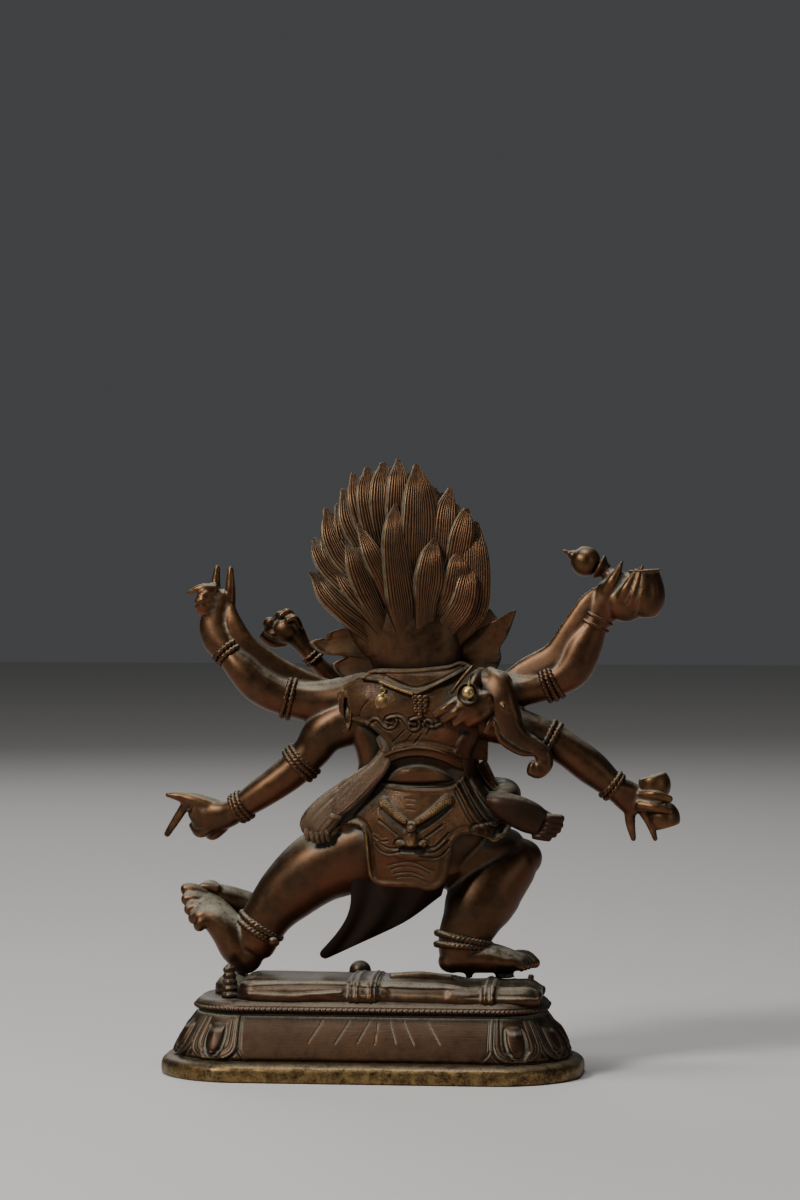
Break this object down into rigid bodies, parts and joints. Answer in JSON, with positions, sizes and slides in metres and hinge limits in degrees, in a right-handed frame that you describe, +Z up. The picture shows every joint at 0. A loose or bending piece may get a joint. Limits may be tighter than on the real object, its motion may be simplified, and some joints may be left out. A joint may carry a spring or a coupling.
{
  "type": "mahakala figure",
  "caption": "Cast bronze standing figure of a many-armed protector with consort, lunging on a trampled body, with an oblong lotus plinth; a shelf or altar ornament.",
  "frame": {"origin": "centre of the plinth's flat underside", "axes": "+Z up through the hair, -Y the way the figure faces, +X towards its own left hand"},
  "size_m": [0.1618, 0.0716, 0.1915],
  "materials": {
    "plinth_bronze": "dark brown patina, satin, brassy where rubbed along the foot",
    "figure_bronze": "dark red-brown patina, satin, grey dust in hollows, golden on worn points"
  },
  "bodies": {
    "root": {"plinth": "plinth_bronze", "figure": "figure_bronze"}
  },
  "joints": []
}
